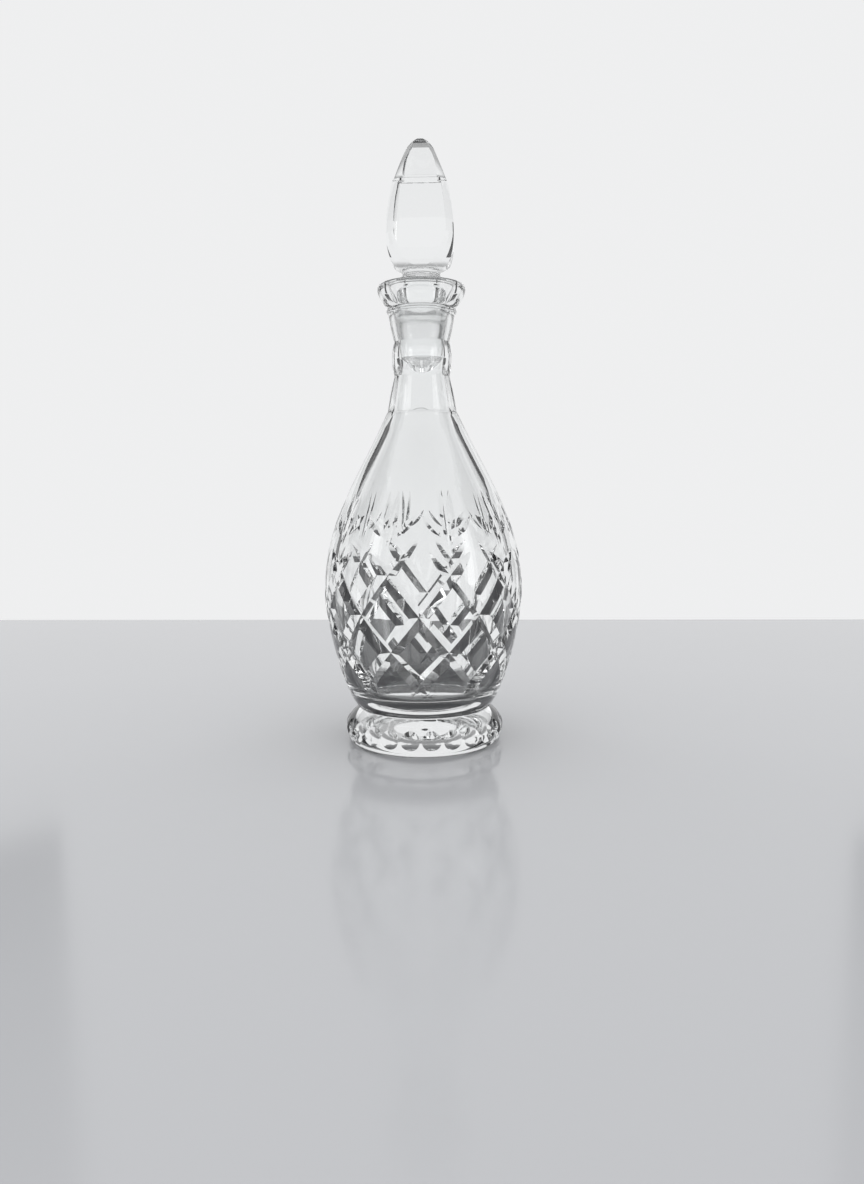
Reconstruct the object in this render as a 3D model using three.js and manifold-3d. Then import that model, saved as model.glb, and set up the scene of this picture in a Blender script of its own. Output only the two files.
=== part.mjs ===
// Cut crystal decanter: a footed bowl with a panelled neck and a cup lip, and a loose ground stopper.
// Millimetres, +Z up. The origin is the centre of the foot's underside; -Y is the front.
import * as THREE from 'three';
import { mergeVertices } from 'three/addons/utils/BufferGeometryUtils.js';
import Module from 'manifold-3d';

const wasm = await Module();
wasm.setup();

// ---- Driving dimensions ----------------------------------------------------------------------

// Foot: a thick rounded ring with a flat contact band and a domed recess underneath.
const FOOT_RADIUS = 45.1;
const FOOT_WIDEST_HEIGHT = 9;
const FOOT_HEIGHT = 19.5;
const FOOT_ROUNDING = 3.8;
const CONTACT_WIDTH = 10.3;
const RECESS_DEPTH = 1.8;
const FOOT_OVERHANG = 8.3;

// Bowl: from the waist to the widest ring, then up the shoulder to the foot of the neck.
const BELLY_RADIUS = 55.8;
const BELLY_HEIGHT = 66;
const SHOULDER_HEIGHT = 98.5;
const SHOULDER_LEDGE = 0.8;
const WALL = 5.6;
const BASE_THICKNESS = 21.2;
const BASE_ROUNDING = 14;
const BORE_BLEND = 8;

// Bore: a ground taper that seats the stopper, the throat under it, and a flare into the bowl.
const SEAT_TOP_RADIUS = 14.2;
const SEAT_BOTTOM_RADIUS = 11.2;
const THROAT_RADIUS = 12.1;
const BORE_FOOT_RADIUS = 15;

// Neck: three tiers of six panels, stacked with a pinched notch between each two. The walls are
// what is left between the bore and the flat of a panel.
const PANEL_COUNT = 6;
const TIER_HEIGHTS = [19.5, 18.5, 15];
const NECK_STEP = 1.2;
const NECK_PANEL_RATIO = 0.96;
const NECK_FOOT_WALL = 3.43;
const NECK_NOTCH_WALL = 2.49;
const NECK_TOP_WALL = 3.27;
const NECK_BULGE = 1.3;
const NECK_SWELL = 0.3;
const BORE_HOLLOW = 0.2;

// Lip: a cup that stands on a round bead at the top of the neck. The ledge is the level inside it
// where the ground seat ends.
const BEAD_WIDTH = 1;
const BEAD_HEIGHT = 2.8;
const MOUTH_FLARE = 3.6;
const LIP_WALL = 6.3;
const LIP_HEIGHT = 14.4;
const LIP_WIDEST_BELOW_RIM = 3.2;
const MOUTH_DEPTH = 2;

// Stopper: a pointed four-sided finial with round corners, a short ringed neck, and a plug that
// follows the seat. A flat reaches the given angle to each side of its middle.
const SEAT_CLEARANCE = 0.3;
const PLUG_TIP_INSET = 2.4;
const PLUG_TIP_LENGTH = 10.5;
const PLUG_BEVEL = 1.8;
const PLUG_COLLAR_BELOW_RIM = 2;
const COLLAR_BEVEL = 1;
const STOPPER_NECK_INSET = 4;
const STOPPER_RING_DEPTH = 0.8;
const STOPPER_RING_SPACING = 2.2;
const STOPPER_RING_COUNT = 2;
const FINIAL_GAP = 7.5;
const FINIAL_STEP = 0.5;
const FINIAL_RADIUS = 17.95;
const FINIAL_WIDEST_HEIGHT = 16.1;
const FINIAL_HEIGHT = 68.6;
const FINIAL_SIDES = 4;
const FINIAL_FLAT_ANGLE = 37.5;
const CROWN_LENGTH = 24;
const CROWN_TIP_APOTHEM = 4.5;

// Cutting: a lattice of crossing mitre grooves with a fan of leaf cuts between the upper ends.
// A leaf's side is its share of half a column from the fan's middle, its rise is above the fan's
// foot, and each runs from the leaf's lower end to its tip.
const COLUMN_COUNT = 10;
const LATTICE_BOTTOM = 40.4;
const CELL_HEIGHTS = [17.3, 19.7, 22];
const GROOVE_RUN_OUT = 11.6;
const RUN_OUT_COLUMNS = 0.65;
const GROOVE_ENTRY = 0.04;
const GROOVE_EXIT = 0.8;
const GROOVE_WIDTH = 8.2;
const GROOVE_DEPTH = 2.7;
const FAN_ABOVE_LATTICE = 13;
const LEAF_WIDTH = 4;
const LEAF_DEPTH = 1.3;
const LEAVES = [
  { side: [0.29, 0.88], rise: [6.6, 17.2] },
  { side: [0.05, 0.19], rise: [1.5, 29.8] },
];
const THUMBPRINT_COUNT = 24;
const THUMBPRINT_ABOVE_WIDEST = 0.6;
const THUMBPRINT_GAP = 2.1;
const THUMBPRINT_HALF_HEIGHT = 6.8;
const THUMBPRINT_RADIAL = 3.4;
const THUMBPRINT_DEPTH = 0.8;
const WHEEL_CLEAR = 1.6;
const WHEEL_LIFT = 0.12;

// How full each freehand curve is, as shares of the stretch that it spans.
const BOWL_CURVE = {
  waistOut: 0.45, waistUp: 0.08, bellyDown: 0.27, bellyUp: 0.4, topOut: 0.43, topDown: 0.34,
};
const FOOT_CURVE = { under: 0.9, rise: 0.8, over: 0.43, waistOut: 0.48, waistDown: 0.29 };
const RECESS_CURVE = { flat: 0.4, edge: 0.75, fall: 0.35 };
const LIP_CURVE = { beadOut: 0.43, beadUp: 0.09, widestDown: 0.22 };
const RIM_CURVE = { crest: 0.57, shoulder: 0.31, fold: 0.25, inner: 0.43 };
const BASE_CURVE = { side: 0.92, drop: 0.29, floor: 0.7 };
const FINIAL_CURVE = { footOut: 0.88, cupDown: 0.34, spireUp: 0.5, tipOut: 0.4 };

// Facets round each turned form.
const BODY_SEGMENTS = 36;
const STOPPER_SEGMENTS = 48;

// ---- Radii that follow from the dimensions ----------------------------------------------------

const CONTACT_OUTER_RADIUS = FOOT_RADIUS - FOOT_ROUNDING;
const CONTACT_INNER_RADIUS = CONTACT_OUTER_RADIUS - CONTACT_WIDTH;
const WAIST_RADIUS = FOOT_RADIUS - FOOT_OVERHANG;
const NECK_FOOT_RADIUS = (BORE_FOOT_RADIUS + NECK_FOOT_WALL) / NECK_PANEL_RATIO;
const NECK_NOTCH_BORE = Math.max(THROAT_RADIUS, SEAT_BOTTOM_RADIUS);
const NECK_NOTCH_RADIUS = (NECK_NOTCH_BORE + NECK_NOTCH_WALL) / NECK_PANEL_RATIO;
const NECK_BULGE_RADIUS = NECK_NOTCH_RADIUS + NECK_BULGE;
const NECK_TOP_RADIUS = (SEAT_TOP_RADIUS + NECK_TOP_WALL) / NECK_PANEL_RATIO;
const SHOULDER_TOP_RADIUS = NECK_FOOT_RADIUS + SHOULDER_LEDGE;
const BEAD_RADIUS = NECK_TOP_RADIUS + BEAD_WIDTH;
const MOUTH_RADIUS = SEAT_TOP_RADIUS + MOUTH_FLARE;
const LIP_RADIUS = MOUTH_RADIUS + LIP_WALL;
const COLLAR_RADIUS = SEAT_TOP_RADIUS - SEAT_CLEARANCE;
const PLUG_FOOT_RADIUS = SEAT_BOTTOM_RADIUS - SEAT_CLEARANCE;
const PLUG_TIP_RADIUS = PLUG_FOOT_RADIUS - PLUG_TIP_INSET;
const STOPPER_NECK_RADIUS = COLLAR_RADIUS - STOPPER_NECK_INSET;
const STOPPER_RING_RADIUS = STOPPER_NECK_RADIUS + STOPPER_RING_DEPTH;
const FINIAL_FOOT_RADIUS = STOPPER_NECK_RADIUS + FINIAL_STEP;
const FINIAL_CORNER = 1 / Math.cos(THREE.MathUtils.degToRad(FINIAL_FLAT_ANGLE));

// ---- Levels that follow from the dimensions ---------------------------------------------------

const BELLY_Z = FOOT_HEIGHT + BELLY_HEIGHT;
const SHOULDER_Z = BELLY_Z + SHOULDER_HEIGHT;
const NECK_Z = SHOULDER_Z + NECK_STEP;
const LOWER_NOTCH_Z = NECK_Z + TIER_HEIGHTS[0];
const UPPER_NOTCH_Z = LOWER_NOTCH_Z + TIER_HEIGHTS[1];
const NECK_TOP_Z = UPPER_NOTCH_Z + TIER_HEIGHTS[2];
const BEAD_TOP_Z = NECK_TOP_Z + BEAD_HEIGHT;
const LEDGE_Z = NECK_TOP_Z + NECK_STEP;
const RIM_Z = LEDGE_Z + LIP_HEIGHT;
const INNER_BASE_Z = RECESS_DEPTH + BASE_THICKNESS;
const FINIAL_Z = RIM_Z + FINIAL_GAP;
const FINIAL_WIDEST_Z = FINIAL_Z + FINIAL_WIDEST_HEIGHT;
const TIP_Z = FINIAL_Z + FINIAL_HEIGHT;
const CROWN_Z = TIP_Z - CROWN_LENGTH;

// ---- Profiles: radius in x, height in y -------------------------------------------------------

const at = (radius, height) => new THREE.Vector2(radius, height);

function bezier(a, b, c, d, steps) {
  return new THREE.CubicBezierCurve(a, b, c, d).getPoints(steps);
}

function bowed(a, b, middleRadius, steps) {
  const control = at(2 * middleRadius - (a.x + b.x) / 2, (a.y + b.y) / 2);
  return new THREE.QuadraticBezierCurve(a, control, b).getPoints(steps);
}

// Joins stretches end to end, dropping the point that two neighbours share.
function chain(...stretches) {
  const points = stretches.flat();
  return points.filter((point, i) => i === 0 || point.distanceTo(points[i - 1]) > 1e-6);
}

function bowlOutside() {
  const waist = at(WAIST_RADIUS, FOOT_HEIGHT);
  const belly = at(BELLY_RADIUS, BELLY_Z);
  const top = at(SHOULDER_TOP_RADIUS, SHOULDER_Z);
  const { waistOut, waistUp, bellyDown, bellyUp, topOut, topDown } = BOWL_CURVE;
  const spread = BELLY_RADIUS - WAIST_RADIUS;
  const lower = bezier(waist, at(WAIST_RADIUS + waistOut * spread, FOOT_HEIGHT + waistUp * BELLY_HEIGHT),
    at(BELLY_RADIUS, BELLY_Z - bellyDown * BELLY_HEIGHT), belly, 6);
  const drawIn = BELLY_RADIUS - SHOULDER_TOP_RADIUS;
  const upper = bezier(belly, at(BELLY_RADIUS, BELLY_Z + bellyUp * SHOULDER_HEIGHT),
    at(SHOULDER_TOP_RADIUS + topOut * drawIn, SHOULDER_Z - topDown * SHOULDER_HEIGHT), top, 8);
  return chain(lower, upper);
}

function footOutside() {
  const contact = at(CONTACT_OUTER_RADIUS, 0);
  const widest = at(FOOT_RADIUS, FOOT_WIDEST_HEIGHT);
  const waist = at(WAIST_RADIUS, FOOT_HEIGHT);
  const { under, rise, over, waistOut, waistDown } = FOOT_CURVE;
  const above = FOOT_HEIGHT - FOOT_WIDEST_HEIGHT;
  const lower = bezier(contact, at(CONTACT_OUTER_RADIUS + under * FOOT_ROUNDING, 0),
    at(FOOT_RADIUS, rise * FOOT_WIDEST_HEIGHT), widest, 3);
  const upper = bezier(widest, at(FOOT_RADIUS, FOOT_WIDEST_HEIGHT + over * above),
    at(WAIST_RADIUS + waistOut * FOOT_OVERHANG, FOOT_HEIGHT - waistDown * above), waist, 4);
  return chain(lower, upper);
}

function neckOutside() {
  const foot = at(NECK_FOOT_RADIUS, NECK_Z);
  const lowerNotch = at(NECK_NOTCH_RADIUS, LOWER_NOTCH_Z);
  const upperNotch = at(NECK_NOTCH_RADIUS, UPPER_NOTCH_Z);
  const top = at(NECK_TOP_RADIUS, NECK_TOP_Z);
  const swollen = (end) => (end + NECK_NOTCH_RADIUS) / 2 + NECK_SWELL;
  return chain(bowed(foot, lowerNotch, swollen(NECK_FOOT_RADIUS), 2),
    bowed(lowerNotch, upperNotch, NECK_BULGE_RADIUS, 4),
    bowed(upperNotch, top, swollen(NECK_TOP_RADIUS), 2));
}

function lipOutside() {
  const widest = at(LIP_RADIUS, RIM_Z - LIP_WIDEST_BELOW_RIM);
  const { beadOut, beadUp, widestDown } = LIP_CURVE;
  const rise = widest.y - BEAD_TOP_Z;
  const beadTop = at(NECK_TOP_RADIUS, BEAD_TOP_Z);
  const bead = bowed(at(NECK_TOP_RADIUS, NECK_TOP_Z), beadTop, BEAD_RADIUS, 4);
  const cup = bezier(beadTop,
    at(THREE.MathUtils.lerp(NECK_TOP_RADIUS, LIP_RADIUS, beadOut), BEAD_TOP_Z + beadUp * rise),
    at(LIP_RADIUS, widest.y - widestDown * rise), widest, 3);
  const { crest, shoulder, fold, inner } = RIM_CURVE;
  const crestRadius = LIP_RADIUS - crest * LIP_WALL;
  const roll = bezier(widest, at(LIP_RADIUS, RIM_Z - shoulder * LIP_WIDEST_BELOW_RIM),
    at(THREE.MathUtils.lerp(LIP_RADIUS, crestRadius, fold), RIM_Z), at(crestRadius, RIM_Z), 2);
  const mouth = bezier(at(crestRadius, RIM_Z),
    at(THREE.MathUtils.lerp(MOUTH_RADIUS, crestRadius, inner), RIM_Z),
    at(MOUTH_RADIUS, RIM_Z - inner * MOUTH_DEPTH), at(MOUTH_RADIUS, RIM_Z - MOUTH_DEPTH), 2);
  return chain(bead, cup, roll, mouth);
}

// The ground seat runs from the ledge down to the upper notch.
const SEAT_TOP = at(SEAT_TOP_RADIUS, LEDGE_Z);
const SEAT_BOTTOM = at(SEAT_BOTTOM_RADIUS, UPPER_NOTCH_Z);

function boreInside() {
  const throat = at(THROAT_RADIUS, LOWER_NOTCH_Z);
  const foot = at(BORE_FOOT_RADIUS, SHOULDER_Z);
  return chain([SEAT_TOP], bowed(SEAT_BOTTOM, throat, SEAT_BOTTOM_RADIUS - BORE_HOLLOW, 2),
    bowed(throat, foot, (THROAT_RADIUS + BORE_FOOT_RADIUS) / 2 - BORE_HOLLOW, 2));
}

// The bowl's inside runs one wall in from its outside, down to the rounded inner base.
function bowlInside() {
  const [low, high] = [INNER_BASE_Z + BASE_ROUNDING, SHOULDER_Z - BORE_BLEND];
  const wall = bowlOutside().filter((p) => p.y > low && p.y < high);
  const lining = wall.map((p) => at(p.x - WALL, p.y)).reverse();
  const turn = lining[lining.length - 1];
  const { side, drop, floor } = BASE_CURVE;
  const base = bezier(turn, at(side * turn.x, INNER_BASE_Z + drop * BASE_ROUNDING),
    at(floor * turn.x, INNER_BASE_Z), at(0, INNER_BASE_Z), 5);
  return chain(lining, base);
}

// ---- Solids -----------------------------------------------------------------------------------

function solidFrom(geometry) {
  geometry.deleteAttribute('normal');
  geometry.deleteAttribute('uv');
  const merged = mergeVertices(geometry, 1e-4);
  const index = merged.index.array;
  const corners = [];
  for (let i = 0; i < index.length; i += 3) {
    const [a, b, c] = [index[i], index[i + 1], index[i + 2]];
    if (a !== b && b !== c && c !== a) corners.push(a, b, c);
  }
  return new wasm.Manifold(new wasm.Mesh({
    numProp: 3,
    vertProperties: new Float32Array(merged.attributes.position.array),
    triVerts: new Uint32Array(corners),
  }));
}

function meshFrom(solid, name, material) {
  const { vertProperties, triVerts } = solid.getMesh();
  const geometry = new THREE.BufferGeometry();
  geometry.setAttribute('position', new THREE.BufferAttribute(new Float32Array(vertProperties), 3));
  geometry.setIndex(new THREE.BufferAttribute(new Uint32Array(triVerts), 1));
  geometry.computeVertexNormals();
  const mesh = new THREE.Mesh(geometry, material);
  mesh.name = name;
  return mesh;
}

// A turned form standing on +Z, with its first column of facets at the front.
function turned(points, segments) {
  return new THREE.LatheGeometry(points, segments).rotateX(Math.PI / 2);
}

// Presses flat panels into a turned form: no vertex stays outside a panel's plane, which lies
// apothemAt(z) from the axis. One of the count panels faces the front.
function pressPanels(geometry, count, apothemAt) {
  const position = geometry.attributes.position;
  const pitch = (2 * Math.PI) / count;
  for (let i = 0; i < position.count; i += 1) {
    const [x, y, z] = [position.getX(i), position.getY(i), position.getZ(i)];
    const radius = Math.hypot(x, y);
    const angle = Math.atan2(x, -y);
    const offset = angle - pitch * Math.round(angle / pitch);
    const limit = apothemAt(z) / Math.cos(offset);
    if (radius > limit) position.setXY(i, (x * limit) / radius, (y * limit) / radius);
  }
  return geometry;
}

function radiusAt(points, height) {
  const i = points.findIndex((p) => p.y >= height);
  if (i < 1) return points[Math.max(i, 0)].x;
  const share = (height - points[i - 1].y) / (points[i].y - points[i - 1].y);
  return THREE.MathUtils.lerp(points[i - 1].x, points[i].x, share);
}

// ---- Wheel cuts -------------------------------------------------------------------------------

const WALL_OUTSIDE = bowlOutside();

function onWall(angle, height) {
  const radius = radiusAt(WALL_OUTSIDE, height);
  return new THREE.Vector3(radius * Math.sin(angle), -radius * Math.cos(angle), height);
}

function wallNormal(angle, height) {
  const slope = radiusAt(WALL_OUTSIDE, height + 1) - radiusAt(WALL_OUTSIDE, height - 1);
  return new THREE.Vector3(Math.sin(angle), -Math.cos(angle), -slope / 2).normalize();
}

// A V-shaped wheel cut that follows the wall. route(t) gives [angle, height] for t from 0 to 1 and
// depthAt(t) the depth, which is negative where the wheel has lifted clear of the glass.
function wheelCut(route, depthAt, width, depth, steps) {
  const flank = width / 2 / depth;
  const wedge = new THREE.Shape([at(0, 0), at(1, 1), at(-1, 1)]);
  const geometry = new THREE.ExtrudeGeometry(wedge, { depth: 1, steps, bevelEnabled: false });
  const position = geometry.attributes.position;
  for (let i = 0; i < position.count; i += 1) {
    const t = position.getZ(i);
    const [angle, height] = route(t);
    const centre = onWall(angle, height);
    const out = wallNormal(angle, height);
    const ahead = onWall(...route(t + 0.01)).sub(onWall(...route(t - 0.01)));
    const side = new THREE.Vector3().crossVectors(out, ahead).normalize();
    const rise = depthAt(t) + WHEEL_CLEAR;
    centre.addScaledVector(side, position.getX(i) * rise * flank);
    centre.addScaledVector(out, position.getY(i) * rise - depthAt(t));
    position.setXYZ(i, centre.x, centre.y, centre.z);
  }
  return solidFrom(geometry);
}

// Row heights of the lattice, from its lowest points to where the grooves run out.
const ROWS = [LATTICE_BOTTOM];
for (const cell of CELL_HEIGHTS) ROWS.push(ROWS[ROWS.length - 1] + cell);
const HALF_COLUMN = Math.PI / COLUMN_COUNT;
const LATTICE_CURVE = new THREE.SplineCurve([
  ...ROWS.map((row, i) => at(i, row)),
  at(ROWS.length - 1 + RUN_OUT_COLUMNS, ROWS[ROWS.length - 1] + GROOVE_RUN_OUT),
]);

// A lattice groove climbs half a column to each row; turn is +1 or -1.
function latticeGroove(column, turn) {
  const start = column * 2 * HALF_COLUMN;
  const route = (t) => {
    const point = LATTICE_CURVE.getPoint(THREE.MathUtils.clamp(t, 0, 1));
    return [start + turn * HALF_COLUMN * point.x, point.y];
  };
  const depthAt = (t) => {
    const lift = Math.max(1 - t / GROOVE_ENTRY, (t - GROOVE_EXIT) / (1 - GROOVE_EXIT), 0);
    return GROOVE_DEPTH * (1 - lift ** 2) - WHEEL_LIFT * lift;
  };
  return wheelCut(route, depthAt, GROOVE_WIDTH, GROOVE_DEPTH, 8);
}

// A leaf of a fan: a straight cut on the left (-1) or right (+1) of the fan's middle.
function fanLeaf(column, hand, { side, rise }) {
  const middle = (2 * column + 1) * HALF_COLUMN;
  const foot = ROWS[ROWS.length - 1] + FAN_ABOVE_LATTICE;
  const route = (t) => [middle + hand * HALF_COLUMN * THREE.MathUtils.lerp(...side, t),
    foot + THREE.MathUtils.lerp(...rise, t)];
  const depthAt = (t) => LEAF_DEPTH * (1 - (2 * t - 1) ** 2) - WHEEL_LIFT;
  return wheelCut(route, depthAt, LEAF_WIDTH, LEAF_DEPTH, 5);
}

// A thumbprint is a shallow slice of an egg-shaped cutter, with a gap left between each two.
function thumbprint(index) {
  const pitch = (2 * Math.PI) / THUMBPRINT_COUNT;
  const height = FOOT_WIDEST_HEIGHT + THUMBPRINT_ABOVE_WIDEST;
  const reach = radiusAt(footOutside(), height) + THUMBPRINT_RADIAL - THUMBPRINT_DEPTH;
  const slice = Math.sqrt(1 - (1 - THUMBPRINT_DEPTH / THUMBPRINT_RADIAL) ** 2);
  const halfWidth = (pitch * FOOT_RADIUS - THUMBPRINT_GAP) / 2 / slice;
  const ball = new THREE.SphereGeometry(1, 8, 6);
  ball.scale(halfWidth, THUMBPRINT_RADIAL, THUMBPRINT_HALF_HEIGHT);
  ball.translate(0, -reach, height).rotateZ(index * pitch);
  return solidFrom(ball);
}

// ---- The two pieces of glass ------------------------------------------------------------------

function decanterBody() {
  const { flat, edge, fall } = RECESS_CURVE;
  const recess = bezier(at(0, RECESS_DEPTH), at(flat * CONTACT_INNER_RADIUS, RECESS_DEPTH),
    at(edge * CONTACT_INNER_RADIUS, fall * RECESS_DEPTH), at(CONTACT_INNER_RADIUS, 0), 4);
  const profile = chain(recess, footOutside(), bowlOutside(), neckOutside(), lipOutside(), boreInside(),
    bowlInside());
  const neck = neckOutside();
  const neckApothem = (z) => (z < NECK_Z - 0.01 || z > NECK_TOP_Z + 0.01
    ? Infinity : NECK_PANEL_RATIO * radiusAt(neck, z));
  let solid = solidFrom(pressPanels(turned(profile, BODY_SEGMENTS), PANEL_COUNT, neckApothem));
  for (let column = 0; column < COLUMN_COUNT; column += 1) {
    solid = solid.subtract(latticeGroove(column, 1)).subtract(latticeGroove(column, -1));
    for (const leaf of LEAVES) {
      solid = solid.subtract(fanLeaf(column, 1, leaf)).subtract(fanLeaf(column, -1, leaf));
    }
  }
  for (let i = 0; i < THUMBPRINT_COUNT; i += 1) solid = solid.subtract(thumbprint(i));
  const crystal = new THREE.MeshStandardMaterial({ color: 0xe9eef0, roughness: 0.03, metalness: 0 });
  return meshFrom(solid, 'decanter_body', crystal);
}

function plugProfile() {
  const collarZ = RIM_Z - PLUG_COLLAR_BELOW_RIM;
  const tipZ = UPPER_NOTCH_Z - PLUG_TIP_LENGTH;
  return [at(0, tipZ), at(PLUG_TIP_RADIUS, tipZ), at(PLUG_TIP_RADIUS + PLUG_BEVEL, tipZ + PLUG_BEVEL),
    at(PLUG_FOOT_RADIUS, UPPER_NOTCH_Z), at(COLLAR_RADIUS, LEDGE_Z),
    at(COLLAR_RADIUS, collarZ - COLLAR_BEVEL), at(COLLAR_RADIUS - COLLAR_BEVEL, collarZ),
    at(STOPPER_NECK_RADIUS, collarZ)];
}

function ringProfile() {
  const points = [];
  const first = FINIAL_Z - STOPPER_RING_COUNT * STOPPER_RING_SPACING;
  for (let ring = 0; ring < STOPPER_RING_COUNT; ring += 1) {
    const low = at(STOPPER_NECK_RADIUS, first + ring * STOPPER_RING_SPACING);
    const high = at(STOPPER_NECK_RADIUS, low.y + STOPPER_RING_SPACING);
    points.push(...bowed(low, high, STOPPER_RING_RADIUS, 4));
  }
  return points;
}

// Half the finial's width across its flats, up its height.
function finialSide() {
  const foot = at(FINIAL_FOOT_RADIUS, FINIAL_Z);
  const widest = at(FINIAL_RADIUS, FINIAL_WIDEST_Z);
  const spread = FINIAL_RADIUS - FINIAL_FOOT_RADIUS;
  const { footOut, cupDown, spireUp, tipOut } = FINIAL_CURVE;
  const cup = bezier(foot, at(FINIAL_FOOT_RADIUS + footOut * spread, FINIAL_Z),
    at(FINIAL_RADIUS, FINIAL_WIDEST_Z - cupDown * FINIAL_WIDEST_HEIGHT), widest, 6);
  const taper = FINIAL_HEIGHT - FINIAL_WIDEST_HEIGHT;
  const spire = new THREE.CubicBezierCurve(widest, at(FINIAL_RADIUS, FINIAL_WIDEST_Z + spireUp * taper),
    at(tipOut * FINIAL_RADIUS, TIP_Z), at(0, TIP_Z));
  return chain(cup, spire.getPoints(14));
}

// The round corners stand out beyond the flats, from nothing at the finial's foot.
function finialCorners(side) {
  return side.map(({ x, y }) => {
    const swell = Math.sqrt(Math.min((y - FINIAL_Z) / FINIAL_WIDEST_HEIGHT, 1));
    return at(x * THREE.MathUtils.lerp(1, FINIAL_CORNER, swell), y);
  });
}

// The flats end in a crease at the crown, whose facets close towards the tip.
function finialApothem(side) {
  const crown = radiusAt(side, CROWN_Z);
  return (z) => {
    if (z < FINIAL_Z) return Infinity;
    const facet = THREE.MathUtils.lerp(crown, CROWN_TIP_APOTHEM, (z - CROWN_Z) / CROWN_LENGTH);
    return z < CROWN_Z ? radiusAt(side, z) : Math.min(radiusAt(side, z), facet);
  };
}

function stopper() {
  const side = finialSide();
  const profile = chain(plugProfile(), ringProfile(), finialCorners(side));
  const turning = turned(profile, STOPPER_SEGMENTS);
  const geometry = pressPanels(turning, FINIAL_SIDES, finialApothem(side));
  const crystal = new THREE.MeshStandardMaterial({ color: 0xeef2f3, roughness: 0.03, metalness: 0 });
  return meshFrom(solidFrom(geometry), 'stopper', crystal);
}

const decanter = new THREE.Group();
decanter.add(decanterBody(), stopper());

export default decanter;
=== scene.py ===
"""Cut crystal decanter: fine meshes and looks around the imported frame.

Every mesh is made in millimetres in the frame's own axes (+Z up, -Y the front) and scaled to metres
as it is written. A piece of glass is a set of zones. Each zone is one smooth stretch of the turned
profile, cut into equal sectors, and a relief function says how deep the wheel cut at each point of a
sector. The creases of the cuts are edges of the mesh, so that every facet stays crisp.
"""
import math

import bpy
import numpy as np
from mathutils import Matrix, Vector
from mathutils.geometry import delaunay_2d_cdt

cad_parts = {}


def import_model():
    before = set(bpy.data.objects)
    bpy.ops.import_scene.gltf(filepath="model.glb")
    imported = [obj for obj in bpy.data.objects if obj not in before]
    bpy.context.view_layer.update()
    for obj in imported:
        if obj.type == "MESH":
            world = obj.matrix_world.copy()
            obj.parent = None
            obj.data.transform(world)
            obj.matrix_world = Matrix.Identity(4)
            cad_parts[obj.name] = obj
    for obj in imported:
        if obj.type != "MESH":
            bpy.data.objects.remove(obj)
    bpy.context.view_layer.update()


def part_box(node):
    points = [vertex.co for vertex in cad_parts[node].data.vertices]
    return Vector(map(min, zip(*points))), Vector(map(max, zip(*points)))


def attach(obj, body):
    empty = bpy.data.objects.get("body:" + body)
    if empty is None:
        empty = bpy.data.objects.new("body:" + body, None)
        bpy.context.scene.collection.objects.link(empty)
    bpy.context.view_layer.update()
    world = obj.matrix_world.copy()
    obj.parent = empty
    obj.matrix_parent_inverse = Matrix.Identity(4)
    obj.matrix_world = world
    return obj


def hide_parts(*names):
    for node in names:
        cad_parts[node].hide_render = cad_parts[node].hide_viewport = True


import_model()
MM = 0.001

# ---- Sizes ------------------------------------------------------------------------------------
# In millimetres. The overall sizes come from the frame. The others keep to those of the CAD model,
# apart from the finest cuts, which it only roughs out.

BODY_LOW, BODY_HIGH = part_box("decanter_body")
STOPPER_LOW, STOPPER_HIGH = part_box("stopper")
BELLY_RADIUS = BODY_HIGH.x / MM
RIM_Z = BODY_HIGH.z / MM
TIP_Z = STOPPER_HIGH.z / MM
PLUG_TIP_Z = STOPPER_LOW.z / MM

FOOT_RADIUS = 45.1
FOOT_WIDEST_Z = 9.0
FOOT_Z = 19.5
CONTACT_OUTER_RADIUS = 41.3
CONTACT_INNER_RADIUS = 31.0
RECESS_DEPTH = 1.8
RECESS_MIDDLE_RADIUS = 0.4
WAIST_RADIUS = 36.8
BELLY_Z = 85.5
SHOULDER_Z = 184.0
SHOULDER_RADIUS = 20.0
WALL = 5.6
INNER_BASE_Z = 23.0
INNER_BASE_ROUNDING = 14
INNER_MIDDLE_RADIUS = 0.4
BORE_BLEND = 8
BORE_EASING = 40

NECK_Z = 185.2
LOWER_NOTCH_Z = 204.7
UPPER_NOTCH_Z = 223.2
NECK_TOP_Z = 238.2
LEDGE_Z = 239.4
NECK_FOOT_RADIUS = 19.2
NOTCH_RADIUS = 15.2
NECK_TOP_RADIUS = 18.2
TIER_MIDDLE_RADII = [17.5, 16.5, 17.0]
NECK_PANEL_DEGREES = 60.0
NECK_PANEL_RATIO = 0.975
NECK_ARRIS_BLEND = 0.6
NECK_FADE = 3.0

BEAD_TOP_Z = NECK_TOP_Z + 2.8
BEAD_BULGE = 1.4
LIP_RADIUS = 24.1
LIP_WIDEST_Z = RIM_Z - 3.2
RIM_RADIUS = LIP_RADIUS - 3.6
MOUTH_RADIUS = 17.8
MOUTH_Z = RIM_Z - 2
SEAT_TOP_RADIUS = 14.2
SEAT_BOTTOM_RADIUS = 11.2
THROAT_RADIUS = 12.1
THROAT_HOLLOW = 0.2
FLARE_MIDDLE_RADIUS = 13.3
BORE_FOOT_RADIUS = 15.0

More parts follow.
